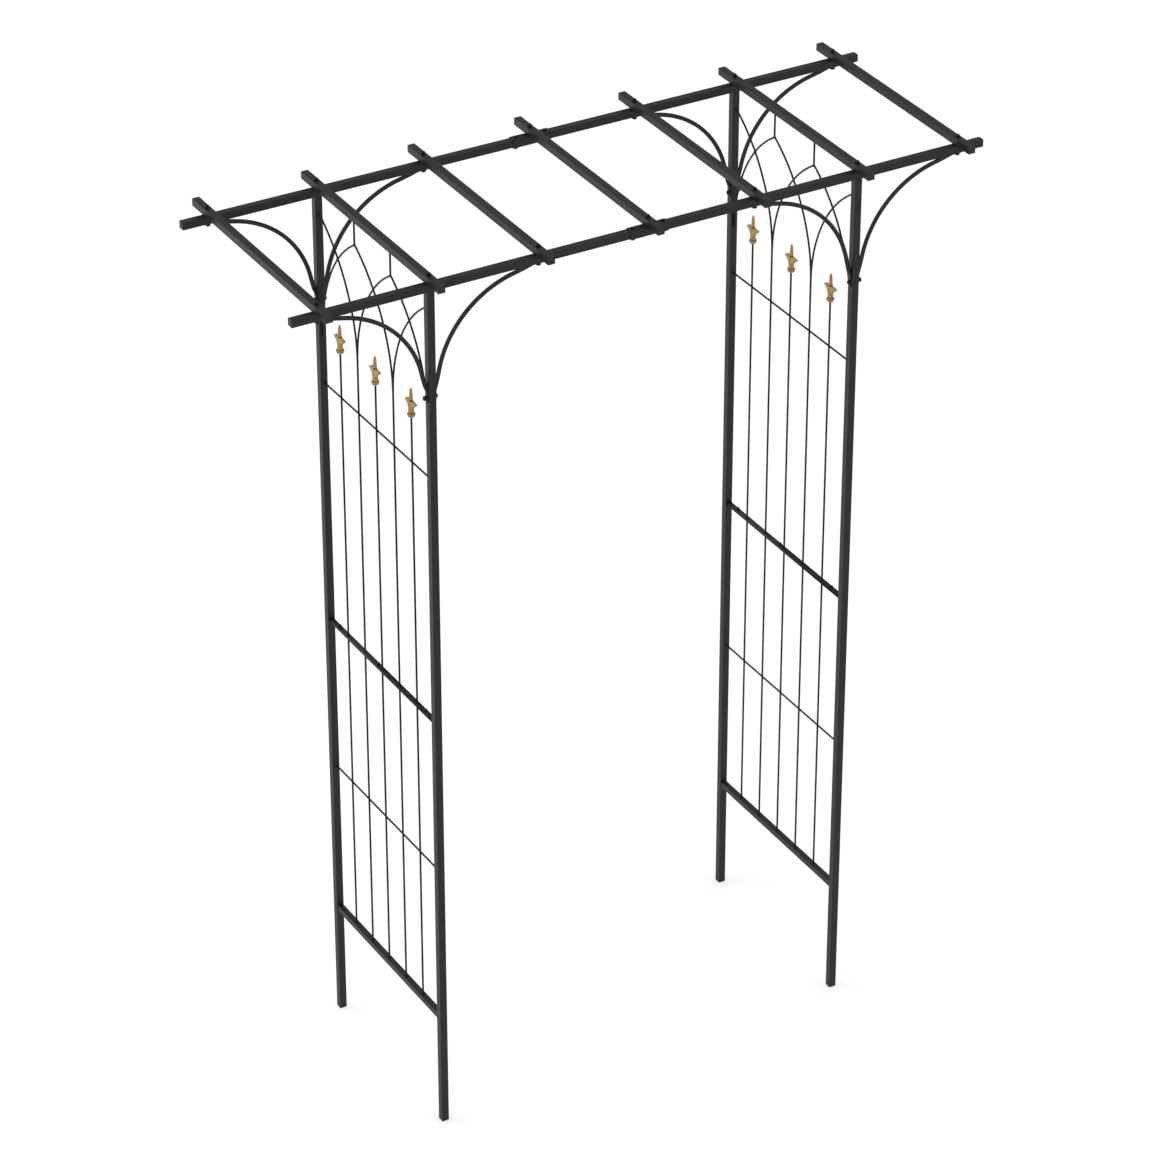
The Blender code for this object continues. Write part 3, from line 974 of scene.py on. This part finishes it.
def hexagon_rings(across, bottom, top, chamfer_bottom):
    """Rings of a hexagon whose corners are cut by a cone, as a bolt head's are."""
    count = 36
    flat = across / 2
    circle = flat * 0.96
    rings = {"low": [], "wall_low": [], "wall_high": [], "high": []}
    for step in range(count):
        angle = 2 * math.pi * step / count
        fold = (angle + math.pi / 6) % (math.pi / 3) - math.pi / 6
        radius = flat / math.cos(fold)
        drop = (radius - circle) * math.tan(math.radians(30))
        unit = Vector((math.cos(angle), math.sin(angle), 0))
        base_drop = drop if chamfer_bottom else 0.0
        rings["low"].append(unit * (circle if chamfer_bottom else radius) + Vector((0, 0, bottom)))
        rings["wall_low"].append(unit * radius + Vector((0, 0, bottom + max(base_drop, 0.00002))))
        rings["wall_high"].append(unit * radius + Vector((0, 0, top - drop)))
        rings["high"].append(unit * circle + Vector((0, 0, top)))
    return list(rings.values())


def disc_rings(profile, count=32):
    """Rings of a turned shape from (radius, height) pairs."""
    rings = []
    for radius, height in profile:
        rings.append([(radius * math.cos(2 * math.pi * i / count),
            radius * math.sin(2 * math.pi * i / count),
            height) for i in range(count)])
    return rings


def washer_profile(radius, thick):
    return ((radius, -0.0002), (radius, thick * 0.7), (radius - thick * 0.3, thick), (0.001, thick))


def head_mesh(settings, share=1.0):
    """Hexagon head on a washer, facing +Z from the surface that it holds."""
    seat = settings.washer_thickness
    bm = bmesh.new()
    loft(bm, disc_rings(washer_profile(settings.washer_radius, seat)))
    top = seat + settings.head_height * share
    rings = hexagon_rings(settings.head_width, seat, top, False)
    dish = settings.head_width * 0.3
    rings.append([Vector((p.x, p.y, 0)).normalized() * dish + Vector((0, 0, top - 0.0002)) for p
        in rings[-1]])
    loft(bm, rings)
    return mesh_from(bm, "bolt_head")


def low_head_mesh(settings):
    """The lower head that holds a sleeve."""
    return head_mesh(settings, settings.low_head_share)


def nut_mesh(settings):
    """Nut on a washer, with the bolt's threaded end just out of it."""
    seat = settings.washer_thickness
    top = seat + settings.nut_height
    shank = settings.nut_width * 0.27
    bm = bmesh.new()
    loft(bm, disc_rings(washer_profile(settings.nut_width * 0.57, seat)))
    loft(bm, hexagon_rings(settings.nut_width, seat, top, True))
    thread = [(shank, top - 0.001)]
    pitch = 0.0006
    for turn in range(2):
        base = top + turn * pitch
        thread += [(shank, base), (shank * 0.88, base + pitch * 0.5)]
    end = top + 2 * pitch
    thread += [(shank * 0.94, end), (shank * 0.8, end + 0.0003), (shank * 0.2, end + 0.0004)]
    loft(bm, disc_rings(thread, 20))
    return mesh_from(bm, "nut")


def frame_bolts(braces):
    """Places of the heads and of the nuts that hold rafters and beams."""
    up, down = Vector((0, 0, 1)), Vector((0, 0, -1))
    heads, nuts = [], []
    posts = [middle_of(name) for name in POSTS]
    beam_low = box_of(BEAMS[0])[0].z
    tab = braces.tab_thickness + CLEARANCE
    for rafter in RAFTERS:
        x = middle_of(rafter).x
        top = box_of(rafter)[1].z
        for y in sorted({round(post.y, 6) for post in posts}):
            heads.append((Vector((x, y, top)), up))
            over_post = min(abs(x - post.x) for post in posts) < POST_SIDE
            over_sleeve = abs(x) < POST_SIDE
            if not over_post and not over_sleeve:
                nuts.append((Vector((x, y, beam_low - tab)), down))
    return heads, nuts


def sleeve_bolts(settings):
    """Places of the low heads on the beam sleeves and of the nuts under them."""
    heads, nuts = [], []
    for sleeve in SLEEVES:
        low, high = box_of(sleeve)
        for way in (-1, 1):
            x, y = way * settings.sleeve_bolt_offset, (low.y + high.y) / 2
            heads.append((Vector((x, y, high.z)), Vector((0, 0, 1))))
            nuts.append((Vector((x, y, low.z)), Vector((0, 0, -1))))
    return heads, nuts


def post_bolts(braces):
    """Places of the heads outside and the nuts inside that hold the braces to the posts."""
    heads, nuts = [], []
    z = box_of(BEAMS[0])[0].z - braces.bolt_distance
    face = POST_SIDE / 2 + braces.tab_thickness + CLEARANCE
    for post in (middle_of(name) for name in POSTS):
        outward = math.copysign(1, post.x)
        heads.append((Vector((post.x + outward * face, post.y, z)), Vector((outward, 0, 0))))
        nuts.append((Vector((post.x - outward * face, post.y, z)), Vector((-outward, 0, 0))))
    return heads, nuts


def rail_bolts(wires):
    """Places of the smaller bolts through the middle rails."""
    up, down = Vector((0, 0, 1)), Vector((0, 0, -1))
    heads, nuts = [], []
    for side in ("left", "right"):
        panel = Panel(side, wires)
        near_post = (panel.inner + panel.uprights[-1]) / 2
        for y in (-near_post, MIDDLE_BOLT, near_post):
            heads.append((Vector((panel.x, y, panel.upper[0].z + wires.bar_height)), up))
            nuts.append((Vector((panel.x, y, panel.lower[1].z - wires.bar_height)), down))
    return heads, nuts


class ARCH_OT_bolts(bpy.types.Operator):
    """Fits the bolts, washers and nuts"""
    bl_idname = "arch.bolts"
    bl_label = "Bolts and Nuts"

    def execute(self, context):
        settings = context.scene.arch_hardware
        tree = fastener_tree()
        steel = fastener_steel()
        braces = context.scene.arch_braces
        sets = (("frame", frame_bolts(braces), head_mesh, 1.0, 1.0),
            ("sleeve", sleeve_bolts(settings), low_head_mesh, 1.0, 1.0),
            ("post", post_bolts(braces), head_mesh, settings.post_bolt_scale, 0.8),
            ("rail", rail_bolts(context.scene.arch_wires), head_mesh, settings.rail_bolt_scale, 0.6))
        for label, (heads, nuts), head, head_scale, nut_scale in sets:
            for kind, maker, places, scale in (("bolt_heads", head, heads, head_scale),
                    ("nuts", nut_mesh, nuts, nut_scale)):
                pattern_mesh = maker(settings)
                pattern_mesh.transform(Matrix.Scale(scale, 4))
                mesh = fasteners(tree, pattern_mesh, places, 11, math.pi, steel)
                add_piece(f"{label}_{kind}", mesh, steel, (), 25.0)
        return {"FINISHED"}


# ---------------------------------------------------------------- finials

def sheath_rings(flutes):
    """The foot, the collar and the fluted sheath above them, from radius and height pairs."""
    profile = ((0.0016, 0.0), (0.0079, 0.0), (0.0087, 0.0006), (0.0090, 0.0018), (0.0091, 0.0032),
        (0.0086, 0.0042), (0.0089, 0.0047), (0.0098, 0.0051), (0.0102, 0.0058), (0.0102, 0.0074),
        (0.0097, 0.0081), (0.0082, 0.0085), (0.0074, 0.0089), (0.0071, 0.0096), (0.0072, 0.0120),
        (0.0073, 0.0170), (0.0075, 0.0230), (0.0076, 0.0280), (0.0074, 0.0330), (0.0069, 0.0370),
        (0.0060, 0.0400), (0.0048, 0.0425), (0.0030, 0.0445), (0.0008, 0.0450))
    count = 72
    rings = []
    for radius, height in profile:
        depth = 0.0004 * smooth(height, 0.0095, 0.014) * (1 - smooth(height, 0.033, 0.041))
        ring = []
        for i in range(count):
            angle = 2 * math.pi * i / count
            reach = radius - depth * (1 - abs(math.cos(angle * flutes / 2)))
            ring.append((reach * math.cos(angle), reach * math.sin(angle), height))
        rings.append(ring)
    return rings


def spear_rings():
    """The upright centre petal: nearly straight sides, a rounded tip and a rib down each face."""
    stations = ((0.0280, 0.0044), (0.0340, 0.0049), (0.0400, 0.0049), (0.0450, 0.0047), (0.0500, 0.0045),
        (0.0550, 0.0043), (0.0600, 0.0041), (0.0640, 0.0038), (0.0675, 0.0034), (0.0700, 0.0029),
        (0.0720, 0.0023), (0.0735, 0.0017), (0.0745, 0.0010), (0.0750, 0.0003))
    count = 48
    rings = []
    for height, radius in stations:
        ring = []
        for i in range(count):
            angle = 2 * math.pi * i / count
            rib = 1 + 0.10 * abs(math.cos(angle)) ** 14 - 0.05 * math.sin(2 * angle) ** 2
            ring.append((radius * rib * math.cos(angle), radius * rib * math.sin(angle), height))
        rings.append(ring)
    return rings


def petal_rings(way, width):
    """A side petal: its underside flares out of the sheath, its top is nearly level, its tip blunt."""
    stations = ((0.0010, 0.0140, 0.0400, 1.20), (0.0045, 0.0152, 0.0412, 1.22),
        (0.0070, 0.0182, 0.0419, 1.10),
        (0.0092, 0.0226, 0.0424, 1.01), (0.0115, 0.0262, 0.0427, 0.98), (0.0145, 0.0292, 0.0429, 0.98),
        (0.0180, 0.0326, 0.0427, 1.00),
        (0.0210, 0.0354, 0.0421, 1.00), (0.0232, 0.0372, 0.0414, 0.99), (0.0244, 0.0382, 0.0408, 0.94),
        (0.0250, 0.0390, 0.0401, 0.80))
    count = 40
    rings = []
    for reach, bottom, top, broad in stations:
        half_height = (top - bottom) / 2
        middle = (top + bottom) / 2
        hollow = 0.0011 * smooth(reach, 0.006, 0.014)
        ring = []
        for i in range(count):
            angle = 2 * math.pi * i / count
            side, rise = math.cos(angle), math.sin(angle)
            across = math.copysign(abs(side) ** 0.7, side) * width / 2 * broad
            if rise > 0:
                height = middle + rise ** 0.55 * half_height - hollow * max(0.0,
                    1 - (side / 0.62) ** 2) * rise
            else:
                height = middle - abs(rise) ** 0.8 * half_height
            lean = 0.0008 * side ** 2 * smooth(reach, 0.008, 0.020)
            height -= PETAL_DROOP * smooth(reach, 0.010, 0.022)
            ring.append((across, way * (reach - lean), height))
        rings.append(ring)
    return rings


CREASE_HEIGHT, CREASE_SPREAD, CREASE_RADIUS = 0.0424, 0.0016, 0.0085    # foot of the spear
CREASE_DEPTH, HOLLOW_GAIN = 0.32, 5.0
BLEND_ROUNDS, BLEND_SHARE = 4, 0.5
PETAL_DROOP = 0.0012


def mark_hollows(mesh):
    """Stores how hollow each vertex lies, from 0 on an edge that stands out to 1 in a crease."""
    bm = bmesh.new()
    bm.from_mesh(mesh)
    bend = []
    for vert in bm.verts:
        total = 0.0
        for edge in vert.link_edges:
            towards = edge.other_vert(vert).co - vert.co
            total += vert.normal.dot(towards.normalized())
        bend.append(total / max(1, len(vert.link_edges)))
    for _ in range(BLEND_ROUNDS):
        bend = [(bend[vert.index] + sum(bend[edge.other_vert(vert).index] for edge in vert.link_edges))
            / (1 + len(vert.link_edges)) for vert in bm.verts]
    crease = [CREASE_DEPTH * math.exp(-((vert.co.z - CREASE_HEIGHT) / CREASE_SPREAD) ** 2)
        if vert.co.xy.length < CREASE_RADIUS else 0.0 for vert in bm.verts]
    bm.free()
    layer = mesh.attributes.new("hollow", "FLOAT", "POINT")
    layer.data.foreach_set("value", [min(1.0, max(0.0, 0.5 + HOLLOW_GAIN * value + extra))
        for value, extra in zip(bend, crease)])


def finial_mesh(settings):
    """The casting: collar, sheath, centre petal and side petals blended into one skin."""
    bm = bmesh.new()
    loft(bm, sheath_rings(settings.flutes))
    loft(bm, spear_rings())
    for way in (1, -1):
        loft(bm, petal_rings(way, settings.petal_width))
    rough = mesh_from(bm, "finial_rough")
    holder = placed("finial_holder", rough)
    blend = holder.modifiers.new("blend", "REMESH")
    blend.mode = "VOXEL"
    blend.voxel_size = settings.voxel
    relax = holder.modifiers.new("relax", "SMOOTH")
    relax.factor = BLEND_SHARE
    relax.iterations = BLEND_ROUNDS
    mesh = finished_mesh(holder)
    bpy.data.objects.remove(holder, do_unlink=True)
    mark_hollows(mesh)
    return mesh


class ARCH_OT_finials(bpy.types.Operator):
    """Casts the gold spear finials and sets one on every other wire"""
    bl_idname = "arch.finials"
    bl_label = "Gold Finials"

    def execute(self, context):
        casting = finial_mesh(context.scene.arch_finials)
        gold = material_named("antique_gold_casting", antique_gold, context.scene.arch_coats)
        for name in FINIALS:
            low, high = box_of(name)
            mesh = casting.copy()
            mesh.transform(Matrix.Translation(((low.x + high.x) / 2, (low.y + high.y) / 2, low.z)))
            add_piece(f"{name}_casting", mesh, gold, (name,), 180.0)
        return {"FINISHED"}


# ---------------------------------------------------------------- stage

def add_softbox(name, place, aim, size, power):
    light = bpy.data.lights.new(name, "AREA")
    light.shape = "RECTANGLE"
    light.size, light.size_y = size
    light.energy = power
    box = placed(name, light)
    box.location = place
    box.rotation_euler = (Vector(aim) - Vector(place)).to_track_quat("-Z", "Y").to_euler()


class ARCH_OT_stage(bpy.types.Operator):
    """Sets the pale floor, the soft studio light and the camera"""
    bl_idname = "arch.stage"
    bl_label = "Stage"

    def execute(self, context):
        scene = context.scene
        settings = scene.arch_stage
        bm = bmesh.new()
        bmesh.ops.create_grid(bm, x_segments=8, y_segments=8, size=30.0)
        mesh = mesh_from(bm, "studio_floor")
        mesh.materials.append(pale_floor())
        placed("studio_floor", mesh)

        world = bpy.data.worlds.new("studio")
        world.use_nodes = True
        nodes, links = world.node_tree.nodes, world.node_tree.links
        height = nodes.new("ShaderNodeSeparateXYZ")
        links.new(nodes.new("ShaderNodeTexCoord").outputs["Generated"], height.inputs[0])
        fall = nodes.new("ShaderNodeMapRange")
        fall.interpolation_type = "SMOOTHSTEP"
        for socket, value in (("From Min", 0.02), ("From Max", 0.6), ("To Min", settings.wall_glow),
                ("To Max", settings.ceiling_glow)):
            fall.inputs[socket].default_value = value
        links.new(height.outputs["Z"], fall.inputs["Value"])
        glow = nodes["Background"]
        glow.inputs["Color"].default_value = (1.0, 1.0, 1.0, 1.0)
        links.new(fall.outputs[0], glow.inputs["Strength"])
        scene.world = world
        scene.view_settings.view_transform = "Standard"

        aim = Vector(settings.aim)
        overhead = bpy.data.lights.new("overhead", "SUN")
        overhead.energy = settings.overhead
        overhead.angle = math.radians(70)
        placed("overhead", overhead).location = (0, 0, 8)
        add_softbox("side_softbox", (-3.6, 3.4, 2.6), (-2.4, 2.4, 0.0), (3.0, 3.0), settings.side)

        camera_data = bpy.data.cameras.new("camera")
        camera_data.lens = settings.lens
        camera_data.sensor_width = 36.0
        camera_data.clip_end = 200.0
        camera = placed("camera", camera_data)
        azimuth, elevation = settings.azimuth, settings.elevation
        back = Vector((math.sin(azimuth) * math.cos(elevation), -math.cos(azimuth) * math.cos(elevation),
            math.sin(elevation)))
        camera.location = aim + back * settings.distance
        camera.rotation_euler = (-back).to_track_quat("-Z", "Y").to_euler()
        scene.camera = camera
        return {"FINISHED"}


# ---------------------------------------------------------------- add-on

OPERATORS = (ARCH_OT_stage, ARCH_OT_tubes, ARCH_OT_sleeves, ARCH_OT_plugs, ARCH_OT_braces, ARCH_OT_panels,
    ARCH_OT_welds, ARCH_OT_bolts, ARCH_OT_finials)


class ARCH_PT_sidebar(bpy.types.Panel):
    """Lists the arch's pieces in the order in which they are made"""
    bl_idname = "ARCH_PT_sidebar"
    bl_label = "Rose Arch"
    bl_space_type = "VIEW_3D"
    bl_region_type = "UI"
    bl_category = "Rose Arch"

    def draw(self, context):
        for operator in OPERATORS:
            self.layout.operator(operator.bl_idname)
        for name, group in SETTINGS.items():
            column = self.layout.column(heading=name)
            for key in group.__annotations__:
                column.prop(getattr(context.scene, name), key)


def register():
    for name, group in SETTINGS.items():
        bpy.utils.register_class(group)
        setattr(bpy.types.Scene, name, PointerProperty(type=group))
    for operator in OPERATORS:
        bpy.utils.register_class(operator)
    bpy.utils.register_class(ARCH_PT_sidebar)


def unregister():
    bpy.utils.unregister_class(ARCH_PT_sidebar)
    for operator in reversed(OPERATORS):
        bpy.utils.unregister_class(operator)
    for name, group in reversed(SETTINGS.items()):
        delattr(bpy.types.Scene, name)
        bpy.utils.unregister_class(group)


def main():
    register()
    for operator in OPERATORS:
        category, call = operator.bl_idname.split(".")
        getattr(getattr(bpy.ops, category), call)()


if __name__ == "__main__":
    main()
